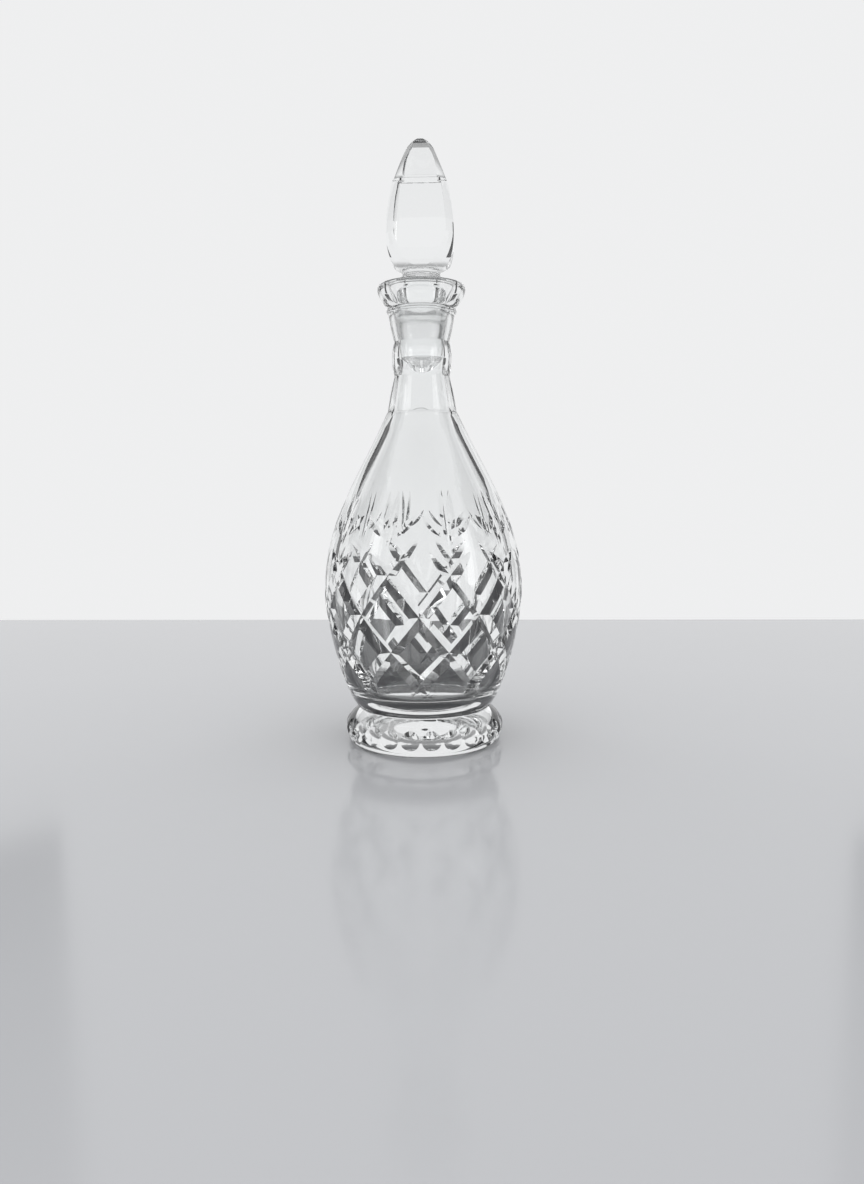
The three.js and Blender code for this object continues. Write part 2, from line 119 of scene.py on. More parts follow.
SEAT_CLEARANCE = 0.3
PLUG_TIP_RADIUS = 8.5
PLUG_MIDDLE_RADIUS = 0.3
PLUG_BEVEL = 1.8
COLLAR_Z = RIM_Z - 2.0
COLLAR_BEVEL = 1
STOPPER_NECK_RADIUS = 9.9
RING_RADIUS = 10.7
RING_PITCH = 2.2
RING_COUNT = 2
FINIAL_Z = TIP_Z - 68.6
FINIAL_FOOT_RADIUS = 10.4
FINIAL_RADIUS = 17.95
FINIAL_FLAT_ANGLE = 37.5
FINIAL_CORNER = 1 / math.cos(math.radians(FINIAL_FLAT_ANGLE))
FINIAL_PANEL_DEGREES = 90.0
FINIAL_WIDEST_Z = FINIAL_Z + 16.1
CROWN_Z = TIP_Z - 24.0
CROWN_CORNER = 1.18
CROWN_TIP_APOTHEM = 4.5
CROWN_LINE_HALF = 0.25
CROWN_LINE_DEPTH = 0.22

# The lattice: each row of crossings stands one step above the one below, and the grooves run in and
# out over a part of a step at its ends. A leaf is a share of half a column and a height over the
# fan's foot, each from its low end to its tip.
COLUMN_DEGREES = 36.0
ROW_STEPS = [0, 1, 2, 3, 3.65]
ROW_HEIGHTS = [40.4, 57.7, 77.4, 99.4, 111.0]
GROOVE_HALF_WIDTH = 4.1
GROOVE_DEPTH = 2.7
LEAF_HALF_WIDTH = 2.2
LEAF_DEPTH = 1.3
FAN_Z = 112.4
LEAVES = [((0.29, 0.88), (6.6, 17.2)), ((0.05, 0.19), (1.5, 29.8))]
PRINT_DEGREES = 15.0
PRINTS_IN_SECTOR = 2
PRINT_Z = 9.6
PRINT_HALF_WIDTH = 5.3
PRINT_HALF_HEIGHT = 5.2
PRINT_DEPTH = 0.6


# ---- Profiles: points of (radius, height) -----------------------------------------------------

def bezier(a, b, c, d, count=60):
    s = np.linspace(0, 1, count)[:, None]
    a, b, c, d = (np.array(p, float) for p in (a, b, c, d))
    return (1 - s) ** 3 * a + 3 * (1 - s) ** 2 * s * b + 3 * (1 - s) * s ** 2 * c + s ** 3 * d


def bowed(a, b, middle_radius, count=40):
    """An arc-like stretch from a to b that passes its middle at the given radius."""
    a, b = np.array(a, float), np.array(b, float)
    control = np.array([2 * middle_radius - (a[0] + b[0]) / 2, (a[1] + b[1]) / 2])
    s = np.linspace(0, 1, count)[:, None]
    return (1 - s) ** 2 * a + 2 * (1 - s) * s * control + s ** 2 * b


def straight(a, b, count=12):
    s = np.linspace(0, 1, count)[:, None]
    return (1 - s) * np.array(a, float) + s * np.array(b, float)


class Stretch:
    """A smooth stretch of a turned profile, by its length t from its first point, in millimetres.

    Cuts go in square to the surface, or straight towards the axis in a radial stretch.
    """

    def __init__(self, points, radial=False):
        self.points = np.array(points, float)
        steps = np.hypot(*np.diff(self.points, axis=0).T)
        self.at = np.concatenate([[0], np.cumsum(steps)])
        self.length = self.at[-1]
        tangent = np.gradient(self.points, self.at, axis=0)
        tangent /= np.hypot(*tangent.T)[:, None]
        self.normal = np.stack([tangent[:, 1], -tangent[:, 0]], 1)
        if radial:
            self.normal = np.tile([1.0, 0.0], (len(tangent), 1))
        self.tangent = tangent
        self.bend = np.gradient(self.normal, self.at, axis=0)

    def read(self, values, t):
        return np.interp(t, self.at, values[:, 0]), np.interp(t, self.at, values[:, 1])

    def radius(self, t):
        return np.interp(t, self.at, self.points[:, 0])

    def height(self, t):
        return np.interp(t, self.at, self.points[:, 1])

    def at_height(self, z):
        order = np.argsort(self.points[:, 1])
        return np.interp(z, self.points[order, 1], self.at[order])


# ---- Zones of a piece -------------------------------------------------------------------------

RING_DEGREES = 2.0      # between neighbouring points round the piece
NUDGE = 0.03            # how far into its triangle a corner's normal is read
TINY = 1e-4             # the step that slopes are measured over
SAME_POINT = 1e-4       # points of a sector that are closer than this are one
DECIMALS = 3            # of a millimetre, kept when neighbouring zones are welded


def no_relief(stretch, degrees, t):
    return np.zeros_like(t)


def sector_mesh(stretch, degrees, rows, creases):
    """Triangles of one sector as (angle in degrees, t) points, with every crease kept as an edge."""
    half = degrees / 2
    scale = math.radians(1) * max(stretch.points[:, 0].mean(), 1.0)
    count = round(degrees / RING_DEGREES)
    angles = np.linspace(-half, half, count + 1)
    points, edges = [], []

    def add(line):
        start = len(points)
        points.extend((a * scale, t) for a, t in line)
        edges.extend((i, i + 1) for i in range(start, len(points) - 1))

    for t in (0.0, stretch.length):
        add([(a, t) for a in angles])
    for a in (-half, half):
        add([(a, t) for t in rows])
    for line in creases:
        add(line)
    for t in rows[1:-1]:
        points.extend((a * scale, t) for a in angles[1:-1])
    made = delaunay_2d_cdt([Vector(p) for p in points], edges, [], 0, SAME_POINT)
    flat = np.array([(p.x / scale, p.y) for p in made[0]])
    faces = np.array([f for f in made[2] if len(f) == 3])
    centre = flat[faces].mean(axis=1)
    inside = (abs(centre[:, 0]) < half) & (centre[:, 1] > 0) & (centre[:, 1] < stretch.length)
    return flat, faces[inside]


def lifted(stretch, relief, degrees, t):
    """Points on the cut surface, and the two directions along it, in the (out, round, up) axes."""
    radius, height = stretch.read(stretch.points, t)
    out, up = stretch.read(stretch.normal, t)
    along_r, along_z = stretch.read(stretch.tangent, t)
    bend_r, bend_z = stretch.read(stretch.bend, t)
    depth = relief(stretch, degrees, t)
    step = TINY / np.maximum(radius, 1.0)
    ahead = relief(stretch, degrees + np.degrees(step), t)
    behind = relief(stretch, degrees - np.degrees(step), t)
    by_angle = (ahead - behind) / (2 * step)
    by_t = (relief(stretch, degrees, t + TINY) - relief(stretch, degrees, t - TINY)) / (2 * TINY)
    point = np.stack([radius - out * depth, np.zeros_like(t), height - up * depth], 1)
    round_way = np.stack([-out * by_angle, radius - out * depth, -up * by_angle], 1)
    along = np.stack([along_r - bend_r * depth - out * by_t, np.zeros_like(t),
                      along_z - bend_z * depth - up * by_t], 1)
    return point, round_way, along


def turn(vectors, degrees):
    """Turns (out, round, up) vectors to x, y, z at the given angles from the front."""
    a = np.radians(degrees)
    out, way, up = vectors.T
    return np.stack([out * np.sin(a) + way * np.cos(a), -out * np.cos(a) + way * np.sin(a), up], 1)


def zone(stretch, sector=6.0, pitch=2.0, relief=no_relief, creases=(), ground=False):
    """Vertices, triangles, corner normals and material numbers of one zone, polished or ground."""
    count = max(2, int(math.ceil(stretch.length / pitch)) + 1)
    rows = np.linspace(0, stretch.length, count)
    flat, faces = sector_mesh(stretch, sector, rows, creases)
    centre = flat[faces].mean(axis=1)[:, None, :]
    corners = flat[faces]
    nudged = (corners + (centre - corners) * NUDGE).reshape(-1, 2)
    point, _, _ = lifted(stretch, relief, flat[:, 0], flat[:, 1])
    _, way, along = lifted(stretch, relief, nudged[:, 0], np.clip(nudged[:, 1], 0, stretch.length))
    normal = np.cross(way, along)
    normal /= np.maximum(np.linalg.norm(normal, axis=1), 1e-9)[:, None]
    copies = round(360 / sector)
    vertices, triangles, normals = [], [], []
    for i in range(copies):
        vertices.append(turn(point, flat[:, 0] + i * sector))
        triangles.append(faces + i * len(flat))
        normals.append(turn(normal, nudged[:, 0] + i * sector))
    vertices, triangles, normals = map(np.concatenate, (vertices, triangles, normals))
    a, b, c = (vertices[triangles[:, i]] for i in range(3))
    facing = np.einsum("ij,ij->i", np.cross(b - a, c - a), normals.reshape(-1, 3, 3).mean(axis=1))
    turned = facing < 0
    triangles[turned] = triangles[turned][:, ::-1]
    normals = normals.reshape(-1, 3, 3)
    normals[turned] = normals[turned][:, ::-1]
    return vertices, triangles, normals, np.full(len(triangles), int(ground))


def piece(name, zones, materials):
    """Welds the zones into one closed mesh with their own normals, in metres."""
    offset, vertices, triangles, normals, looks = 0, [], [], [], []
    for v, f, n, look in zones:
        vertices.append(v)
        triangles.append(f + offset)
        normals.append(n)
        looks.append(look)
        offset += len(v)
    vertices, triangles, normals, looks = map(np.concatenate, (vertices, triangles, normals, looks))
    keys = np.round(vertices, DECIMALS) + 0.0
    _, first, index = np.unique(keys, axis=0, return_index=True, return_inverse=True)
    triangles = index.reshape(-1)[triangles]
    vertices = vertices[first]
    a, b, c = triangles.T
    whole = (a != b) & (b != c) & (c != a)
    triangles, normals, looks = triangles[whole], normals[whole], looks[whole]
    mesh = bpy.data.meshes.new(name)
    mesh.from_pydata((vertices * MM).tolist(), [], triangles.tolist())
    mesh.polygons.foreach_set("use_smooth", np.ones(len(mesh.polygons), bool))
    mesh.polygons.foreach_set("material_index", looks)
    mesh.update()
    mesh.normals_split_custom_set(normals.reshape(-1, 3).tolist())
    for material in materials:
        mesh.materials.append(material)
    made = bpy.data.objects.new(name, mesh)
    bpy.context.scene.collection.objects.link(made)
    return made


# ---- Reliefs ----------------------------------------------------------------------------------

HALF_COLUMN = COLUMN_DEGREES / 2
ROW_CURVE = np.polyfit(ROW_STEPS, ROW_HEIGHTS, 4)
STEP_TABLE = np.linspace(-0.6, 4.0, 2000)   # wide enough for the whole lattice
HEIGHT_TABLE = np.polyval(ROW_CURVE, STEP_TABLE)
RUN_OUT_START = 2.9
RUN_OUT_END = 3.66
RUN_IN_START = -0.32
RUN_IN_END = 0.0
PANEL_CREASE_STEPS = 40
PANEL_CREASE_GAP = 0.2


def lattice_step(z):
    return np.interp(z, HEIGHT_TABLE, STEP_TABLE)


def groove_share(step):
    """How full the grooves are at a lattice step: 1 in the lattice, 0 where the wheel has lifted."""
    top = np.clip((RUN_OUT_END - step) / (RUN_OUT_END - RUN_OUT_START), 0, 1)
    foot = np.clip((step - RUN_IN_START) / (RUN_IN_END - RUN_IN_START), 0, 1)
    return (1 - (1 - top) ** 2) * foot


def step_length(stretch, step):
    """Millimetres square to a groove for one unit of its lattice coordinate."""
    z = np.polyval(ROW_CURVE, step)
    rise = np.polyval(np.polyder(ROW_CURVE), step)
    across = np.radians(HALF_COLUMN) * stretch.radius(stretch.at_height(z))
    return 1 / np.sqrt(1 / rise ** 2 + 1 / across ** 2)


def groove_relief(stretch, degrees, t):
    step = lattice_step(stretch.height(t))
    side = degrees / HALF_COLUMN
    length = step_length(stretch, step)
    deepest = np.zeros_like(t)
    for way in (step + side, step - side):
        off = abs(way - 2 * np.round(way / 2)) * length
        deepest = np.maximum(deepest, groove_share(step) - off / GROOVE_HALF_WIDTH)
    return GROOVE_DEPTH * deepest


def groove_creases(stretch):
    """Centre and edge lines of the grooves, and the lines where two grooves cross, in one sector."""
    steps = np.linspace(RUN_IN_START, RUN_OUT_END, 60)
    t = stretch.at_height(np.polyval(ROW_CURVE, steps))
    width = groove_share(steps) * GROOVE_HALF_WIDTH / step_length(stretch, steps)
    lines = []
    for shift in (-4, -2, 0, 2, 4):
        for edge in (-1, 0, 1):
            side = steps - shift + edge * width
            for mirror in (-1, 1):
                lines += within(np.stack([mirror * side * HALF_COLUMN, t], 1), HALF_COLUMN)
    for row in range(4):
        share = float(GROOVE_HALF_WIDTH * groove_share(row) / step_length(stretch, row))
        for side in ((0,) if row % 2 == 0 else (-1, 1)):
            low, mid, high = (float(stretch.at_height(np.polyval(ROW_CURVE, row + d)))
                              for d in (-share if row else 0, 0, share))
            lines.append([(side * HALF_COLUMN, low), (side * HALF_COLUMN, high)])
            reach = np.clip([side - share, side + share], -1, 1) * HALF_COLUMN
            lines.append([(reach[0], mid), (reach[1], mid)])
    return lines


def within(line, half):
    """The stretches of a line that lie inside the sector, each cut off on its sides."""
    pieces, run = [], []
    for here, there in zip(line[:-1], line[1:]):
        ends = []
        for p, q in ((here, there), (there, here)):
            if abs(p[0]) <= half + 1e-9:
                ends.append(p)
            elif abs(q[0]) < half:
                edge = math.copysign(half, p[0])
                share = (edge - q[0]) / (p[0] - q[0])
                ends.append(np.array([edge, q[1] + share * (p[1] - q[1])]))
        if len(ends) < 2:
            if len(run) > 1:
                pieces.append(run)
            run = []
            continue
        if not run:
            run = [tuple(ends[0])]
        run.append(tuple(ends[1]))
    if len(run) > 1:
        pieces.append(run)
    return pieces


def leaf_ends(stretch, hand, side, rise):
    """The lower end and the tip of a leaf as (millimetres from the fan's middle, t)."""
    ends = []
    for share, up in zip(side, rise):
        t = float(stretch.at_height(FAN_Z + up))
        ends.append(np.array([hand * share * math.radians(HALF_COLUMN) * float(stretch.radius(t)), t]))
    return ends


def leaf_depth(along, across):
    """A V cut with pointed ends; along runs from 0 to 1, and across is in millimetres."""
    share = 2 * along - 1
    fullness = np.where(abs(share) < 1, 1 - share ** 2, 0)
    return LEAF_DEPTH * np.maximum(fullness - abs(across) / LEAF_HALF_WIDTH, 0)


def fan_relief(stretch, degrees, t):
    deepest = np.zeros_like(t)
    for middle in (-HALF_COLUMN, HALF_COLUMN):
        side_way = np.radians(degrees - middle) * stretch.radius(t)
        for side, rise in LEAVES:
            for hand in (-1, 1):
                low, tip = leaf_ends(stretch, hand, side, rise)
                reach = tip - low
                length = np.hypot(*reach)
                x, y = side_way - low[0], t - low[1]
                along = (x * reach[0] + y * reach[1]) / length ** 2
                across = (x * reach[1] - y * reach[0]) / length
                deepest = np.maximum(deepest, leaf_depth(along, across))
    return deepest


def leaf_lines(stretch, middle, hand, side, rise):
    """The centre line and the two edges of a leaf as (degrees, t) lines."""
    low, tip = leaf_ends(stretch, hand, side, rise)
    reach = tip - low
    square = np.array([reach[1], -reach[0]]) / np.hypot(*reach)
    share = np.linspace(-1, 1, 21)
    lines = []
    for edge in (-1, 0, 1):
        line = low + (share[:, None] + 1) / 2 * reach
        line = line + edge * LEAF_HALF_WIDTH * (1 - share[:, None] ** 2) * square
        degrees = middle + np.degrees(line[:, 0] / stretch.radius(line[:, 1]))
        lines += within(np.stack([degrees, line[:, 1]], 1), HALF_COLUMN)
    return lines


def bowl_relief(stretch, degrees, t):
    return np.maximum(groove_relief(stretch, degrees, t), fan_relief(stretch, degrees, t))


def bowl_creases(stretch):
    lines = groove_creases(stretch)
    for middle in (-HALF_COLUMN, HALF_COLUMN):
        for side, rise in LEAVES:
            for hand in (-1, 1):
                lines += leaf_lines(stretch, middle, hand, side, rise)
    return lines


def print_relief(stretch, degrees, t):
    across = np.radians(degrees) * FOOT_RADIUS / PRINT_HALF_WIDTH
    up = (stretch.height(t) - PRINT_Z) / PRINT_HALF_HEIGHT
    return PRINT_DEPTH * np.maximum(1 - across ** 2 - up ** 2, 0)


def print_creases(stretch):
    round_way = np.linspace(0, 2 * math.pi, 33)
    degrees = np.degrees(PRINT_HALF_WIDTH * np.cos(round_way) / FOOT_RADIUS)
    t = stretch.at_height(PRINT_Z + PRINT_HALF_HEIGHT * np.sin(round_way))
    return [list(zip(degrees, t))]


def panel_relief(apothem):
    """Flat panels: what stands outside the plane at apothem(height) from the axis is cut away."""
    def relief(stretch, degrees, t):
        radius, height = stretch.read(stretch.points, t)
        flat = apothem(height) / np.cos(np.radians(degrees))
        return np.maximum(radius - flat, 0)
    return relief


def soft_panel_relief(ratio, blend):
    """Panels whose arrises are polished round over about the blend, in millimetres."""
    def relief(stretch, degrees, t):
        radius = stretch.radius(t)
        over = radius - ratio * radius / np.cos(np.radians(degrees))
        return blend * np.log1p(np.exp(over / blend))
    return relief


def panel_creases(stretch, apothem, pitch):
    """The two lines where a panel meets its round corners, wherever it is narrower than its pitch."""
    t = np.linspace(0, stretch.length, PANEL_CREASE_STEPS)
    share = apothem(stretch.height(t)) / np.maximum(stretch.radius(t), 1e-3)
    edge = np.degrees(np.arccos(np.clip(share, math.cos(math.radians(pitch / 2)), 1)))
    lines, run = [], []
    for angle, at in zip(edge, t):
        if PANEL_CREASE_GAP < angle < pitch / 2 - PANEL_CREASE_GAP:
            run.append((angle, at))
            continue
        if len(run) > 1:
            lines.append(run)
        run = []
    if len(run) > 1:
        lines.append(run)
    return lines + [[(-a, at) for a, at in line] for line in lines]


# ---- The decanter -----------------------------------------------------------------------------

def foot_zones():
    middle = (RECESS_MIDDLE_RADIUS, RECESS_DEPTH)
    pole = Stretch(straight((0, RECESS_DEPTH), middle))
    recess = Stretch(bezier(middle, (0.4 * CONTACT_INNER_RADIUS, RECESS_DEPTH),
                            (0.75 * CONTACT_INNER_RADIUS, 0.35 * RECESS_DEPTH),
                            (CONTACT_INNER_RADIUS, 0)))
    contact = Stretch(straight((CONTACT_INNER_RADIUS, 0), (CONTACT_OUTER_RADIUS, 0)))
    widest = (FOOT_RADIUS, FOOT_WIDEST_Z)
    under = bezier((CONTACT_OUTER_RADIUS, 0), (FOOT_RADIUS - 1, 0.4),
                   (FOOT_RADIUS, 0.8 * FOOT_WIDEST_Z), widest)
    over = bezier(widest, (FOOT_RADIUS, 1.45 * FOOT_WIDEST_Z), (WAIST_RADIUS + 4, FOOT_Z - 3),
                  (WAIST_RADIUS, FOOT_Z))
    ring = Stretch(np.concatenate([under, over[1:]]))
    return [
        zone(pole),
        zone(recess, pitch=1.5),
        zone(contact),
        zone(ring, PRINTS_IN_SECTOR * PRINT_DEGREES, 1.0, repeated(print_relief, PRINT_DEGREES),
             repeated_lines(print_creases(ring), PRINT_DEGREES, PRINTS_IN_SECTOR)),
    ]


def repeated(relief, degrees):
    """A relief that repeats every so many degrees, for a sector that holds two of them."""
    def every(stretch, angle, t):
        shifted = np.asarray(angle) + degrees / 2
        return relief(stretch, shifted - degrees * np.round(shifted / degrees), t)
    return every


def repeated_lines(lines, degrees, count):
    middles = [(i - (count - 1) / 2) * degrees for i in range(count)]
    return [[(a + m, t) for a, t in line] for m in middles for line in lines]


def bowl_outside():
    spread = BELLY_RADIUS - WAIST_RADIUS
    rise = BELLY_Z - FOOT_Z
    lower = bezier((WAIST_RADIUS, FOOT_Z), (WAIST_RADIUS + 0.45 * spread, FOOT_Z + 0.08 * rise),
                   (BELLY_RADIUS, BELLY_Z - 0.27 * rise), (BELLY_RADIUS, BELLY_Z), 200)
    draw_in = BELLY_RADIUS - SHOULDER_RADIUS
    climb = SHOULDER_Z - BELLY_Z
    upper = bezier((BELLY_RADIUS, BELLY_Z), (BELLY_RADIUS, BELLY_Z + 0.4 * climb),
                   (SHOULDER_RADIUS + 0.43 * draw_in, SHOULDER_Z - 0.34 * climb),
                   (SHOULDER_RADIUS, SHOULDER_Z), 250)
    return np.concatenate([lower, upper[1:]])


def neck_zones():
    """A step off the shoulder, and three tiers of panels with a notch between each two."""
    corners = [(NECK_FOOT_RADIUS, NECK_Z), (NOTCH_RADIUS, LOWER_NOTCH_Z),
               (NOTCH_RADIUS, UPPER_NOTCH_Z), (NECK_TOP_RADIUS, NECK_TOP_Z)]
    step = bezier((SHOULDER_RADIUS, SHOULDER_Z), (SHOULDER_RADIUS - 0.35, SHOULDER_Z + 0.6),
                  (NECK_FOOT_RADIUS + 0.15, NECK_Z - 0.4), corners[0], 20)
    tiers = [bowed(*ends) for ends in zip(corners[:-1], corners[1:], TIER_MIDDLE_RADII)]
    relief = soft_panel_relief(NECK_PANEL_RATIO, NECK_ARRIS_BLEND)

    def faded(stretch, degrees, t):
        height = stretch.height(t)
        foot = np.clip((height - NECK_Z) / NECK_FADE, 0, 1)
        ends = foot * np.clip((NECK_TOP_Z - height) / NECK_FADE, 0, 1)
        return relief(stretch, degrees, t) * ends * (2 - ends)

    return [zone(Stretch(points, radial=True), NECK_PANEL_DEGREES, 1.2, faded)
            for points in [step] + tiers]


def lip_zones():
    bulge = NECK_TOP_RADIUS + BEAD_BULGE
    bead = bezier((NECK_TOP_RADIUS, NECK_TOP_Z), (bulge, NECK_TOP_Z + 0.1), (bulge, BEAD_TOP_Z - 0.1),
                  (NECK_TOP_RADIUS, BEAD_TOP_Z), 30)
    rise = LIP_WIDEST_Z - BEAD_TOP_Z
    cup = bezier((NECK_TOP_RADIUS, BEAD_TOP_Z), (NECK_TOP_RADIUS + 2.5, BEAD_TOP_Z + 0.09 * rise),
                 (LIP_RADIUS, LIP_WIDEST_Z - 0.22 * rise), (LIP_RADIUS, LIP_WIDEST_Z))
    crest = (RIM_RADIUS, RIM_Z)
    roll = bezier((LIP_RADIUS, LIP_WIDEST_Z), (LIP_RADIUS, RIM_Z - 1.0), (LIP_RADIUS - 0.9, RIM_Z),
                  crest)
    mouth = bezier(crest, (MOUTH_RADIUS + 1.2, RIM_Z), (MOUTH_RADIUS, RIM_Z - 0.6),
                   (MOUTH_RADIUS, MOUTH_Z))
    rim = Stretch(np.concatenate([cup, roll[1:], mouth[1:]]))
    cone = Stretch(straight((MOUTH_RADIUS, MOUTH_Z), (SEAT_TOP_RADIUS, LEDGE_Z)))
    seat = Stretch(straight((SEAT_TOP_RADIUS, LEDGE_Z), (SEAT_BOTTOM_RADIUS, UPPER_NOTCH_Z)))
    return [zone(Stretch(bead), pitch=0.4), zone(rim, pitch=0.8), zone(cone), zone(seat, ground=True)]


def inside_zones(outside):
    """The bore from the seat down, the bowl's lining one wall inside its outline, and the base."""
    throat = bowed((SEAT_BOTTOM_RADIUS, UPPER_NOTCH_Z), (THROAT_RADIUS, LOWER_NOTCH_Z),
                   SEAT_BOTTOM_RADIUS - THROAT_HOLLOW)
    flare = bowed((THROAT_RADIUS, LOWER_NOTCH_Z), (BORE_FOOT_RADIUS, SHOULDER_Z), FLARE_MIDDLE_RADIUS)
    heights = outside[:, 1]
    lined = (heights > INNER_BASE_Z + INNER_BASE_ROUNDING) & (heights < SHOULDER_Z - BORE_BLEND)
    lining = outside[lined][::-1] - np.array([WALL, 0])
    top = straight((BORE_FOOT_RADIUS, SHOULDER_Z), lining[0], 6)
    turn_in = lining[-1]
    middle = (INNER_MIDDLE_RADIUS, INNER_BASE_Z)
    base = bezier(turn_in, (turn_in[0] - 3, INNER_BASE_Z + 4), (0.7 * turn_in[0], INNER_BASE_Z),
                  middle, 120)
    line = np.concatenate([throat, flare[1:], top[1:], lining[1:], base[1:]])
    bore = Stretch(smoothed(line, BORE_EASING))
    pole = Stretch(straight(middle, (0, INNER_BASE_Z)))
    return [zone(bore), zone(pole)]


def smoothed(points, times):
    """Eases the corners of a dense line of points, with its ends held."""
    steps = np.hypot(*np.diff(points, axis=0).T)
    at = np.concatenate([[0], np.cumsum(steps)])
    even = np.linspace(0, at[-1], 500)
    line = np.stack([np.interp(even, at, points[:, i]) for i in range(2)], 1)
    for _ in range(times):
        line[1:-1] = (line[:-2] + 2 * line[1:-1] + line[2:]) / 4
    return line


def decanter(materials):
    outside = bowl_outside()
    bowl = Stretch(outside)
    zones = foot_zones()
    zones.append(zone(bowl, COLUMN_DEGREES, 1.8, bowl_relief, bowl_creases(bowl)))
    zones += neck_zones() + lip_zones() + inside_zones(outside)
    return piece("crystal_body", zones, materials)


# ---- The stopper ------------------------------------------------------------------------------

def plug_zones():
    """The plug, ground only on its seat, and the ringed neck up to the finial's foot."""
    collar = SEAT_TOP_RADIUS - SEAT_CLEARANCE
    seat_foot = (SEAT_BOTTOM_RADIUS - SEAT_CLEARANCE, UPPER_NOTCH_Z)
    middle = (PLUG_MIDDLE_RADIUS, PLUG_TIP_Z)
    corners = [middle, (PLUG_TIP_RADIUS, PLUG_TIP_Z),
               (PLUG_TIP_RADIUS + PLUG_BEVEL, PLUG_TIP_Z + PLUG_BEVEL), seat_foot, (collar, LEDGE_Z),
               (collar, COLLAR_Z - COLLAR_BEVEL), (collar - COLLAR_BEVEL, COLLAR_Z),
               (STOPPER_NECK_RADIUS, COLLAR_Z),
               (STOPPER_NECK_RADIUS, FINIAL_Z - RING_COUNT * RING_PITCH)]
    zones = [zone(Stretch(straight((0, PLUG_TIP_Z), middle)))]
    for a, b in zip(corners[:-1], corners[1:]):
        zones.append(zone(Stretch(straight(a, b)), ground=a == seat_foot))
    for ring in range(RING_COUNT, 0, -1):
        low = FINIAL_Z - ring * RING_PITCH
        bead = bowed((STOPPER_NECK_RADIUS, low), (STOPPER_NECK_RADIUS, low + RING_PITCH), RING_RADIUS)
        zones.append(zone(Stretch(bead), pitch=0.4))
    step = straight((STOPPER_NECK_RADIUS, FINIAL_Z), (FINIAL_FOOT_RADIUS, FINIAL_Z))
    return zones + [zone(Stretch(step))]


def finial_zones():
    """A four-sided drop: the profile is that of the rounded corners, and the flats lie inside it."""
    spread = FINIAL_RADIUS - FINIAL_FOOT_RADIUS
    rise = FINIAL_WIDEST_Z - FINIAL_Z
    cup = bezier((FINIAL_FOOT_RADIUS, FINIAL_Z), (FINIAL_FOOT_RADIUS + 0.88 * spread, FINIAL_Z + 0.15),
                 (FINIAL_RADIUS, FINIAL_Z + 0.66 * rise), (FINIAL_RADIUS, FINIAL_WIDEST_Z))
    taper = TIP_Z - FINIAL_WIDEST_Z
    spire = bezier((FINIAL_RADIUS, FINIAL_WIDEST_Z), (FINIAL_RADIUS, FINIAL_WIDEST_Z + 0.5 * taper),
                   (0.4 * FINIAL_RADIUS, TIP_Z), (0.0, TIP_Z), 160)
    crown_at = int(np.argmin(abs(spire[:, 1] - CROWN_Z)))
    crown_z = spire[crown_at, 1]
    side = Stretch(np.concatenate([cup, spire[1:]]))
    swell = np.clip((cup[:, 1] - FINIAL_Z) / rise, 0, 1)
    cup = cup * np.stack([1 + (FINIAL_CORNER - 1) * np.sqrt(swell), np.ones_like(swell)], 1)
    spire = spire * np.array([FINIAL_CORNER, 1])

    def flat(z):
        return side.radius(side.at_height(z))

    lower = Stretch(np.concatenate([cup, spire[1:crown_at + 1]]), radial=True)
    over_line = np.clip((spire[crown_at:, 1] - crown_z) / (2 * CROWN_LINE_HALF), 0, 1)
    narrowed = 1 + (CROWN_CORNER / FINIAL_CORNER - 1) * over_line
    upper = Stretch(spire[crown_at:] * np.stack([narrowed, np.ones_like(narrowed)], 1), radial=True)
    crown_foot = float(flat(crown_z))

    def crown(z):
        share = (z - crown_z) / (TIP_Z - crown_z)
        cut = crown_foot + (CROWN_TIP_APOTHEM - crown_foot) * share
        return np.minimum(flat(z), cut)

    def lined(apothem):
        """The panels, with a fine line wheeled along the crease of the crown."""
        panels = panel_relief(apothem)

        def relief(stretch, degrees, t):
            off = abs(stretch.height(t) - crown_z) / CROWN_LINE_HALF
            return panels(stretch, degrees, t) + CROWN_LINE_DEPTH * np.maximum(1 - off, 0)
        return relief

    pitch = FINIAL_PANEL_DEGREES
    round_way = np.linspace(-pitch / 2, pitch / 2, round(pitch / RING_DEGREES) + 1)
    zones = []
    for stretch, apothem, edge in ((lower, flat, -1), (upper, crown, 1)):
        t = float(stretch.at_height(crown_z + edge * CROWN_LINE_HALF))
        creases = panel_creases(stretch, apothem, pitch) + [[(a, t) for a in round_way]]
        zones.append(zone(stretch, pitch, 1.0, lined(apothem), creases))
    return zones


def stopper(materials):
    return piece("crystal_stopper", plug_zones() + finial_zones(), materials)


# ---- Materials --------------------------------------------------------------------------------

CRYSTAL_IOR = 1.54
CRYSTAL_TINT = (0.985, 0.992, 0.992, 1)
RIPPLE_SCALE = 90.0
RIPPLE_STRENGTH = 0.04
RIPPLE_DEPTH = 0.0004
GROUND_TINT = (0.97, 0.975, 0.975, 1)
GRAIN_SCALE = 900.0
FROST_ROUGHNESS = (0.1, 0.22)


def shader(name):
    """A new material, and the Principled shader that it starts with."""
    material = bpy.data.materials.new(name)
    material.use_nodes = True
    return material, material.node_tree.nodes["Principled BSDF"]


def glass(name, tint):
    material, principled = shader(name)
    principled.inputs["Base Color"].default_value = tint
    principled.inputs["Transmission Weight"].default_value = 1.0
    principled.inputs["IOR"].default_value = CRYSTAL_IOR
    return material, principled


def noise(material, scale):
    """Fine noise fixed to the object."""
    nodes, links = material.node_tree.nodes, material.node_tree.links
    place = nodes.new("ShaderNodeTexCoord")
    made = nodes.new("ShaderNodeTexNoise")
    made.inputs["Scale"].default_value = scale
    made.inputs["Detail"].default_value = 2.0
    links.new(place.outputs["Object"], made.inputs["Vector"])
    return made


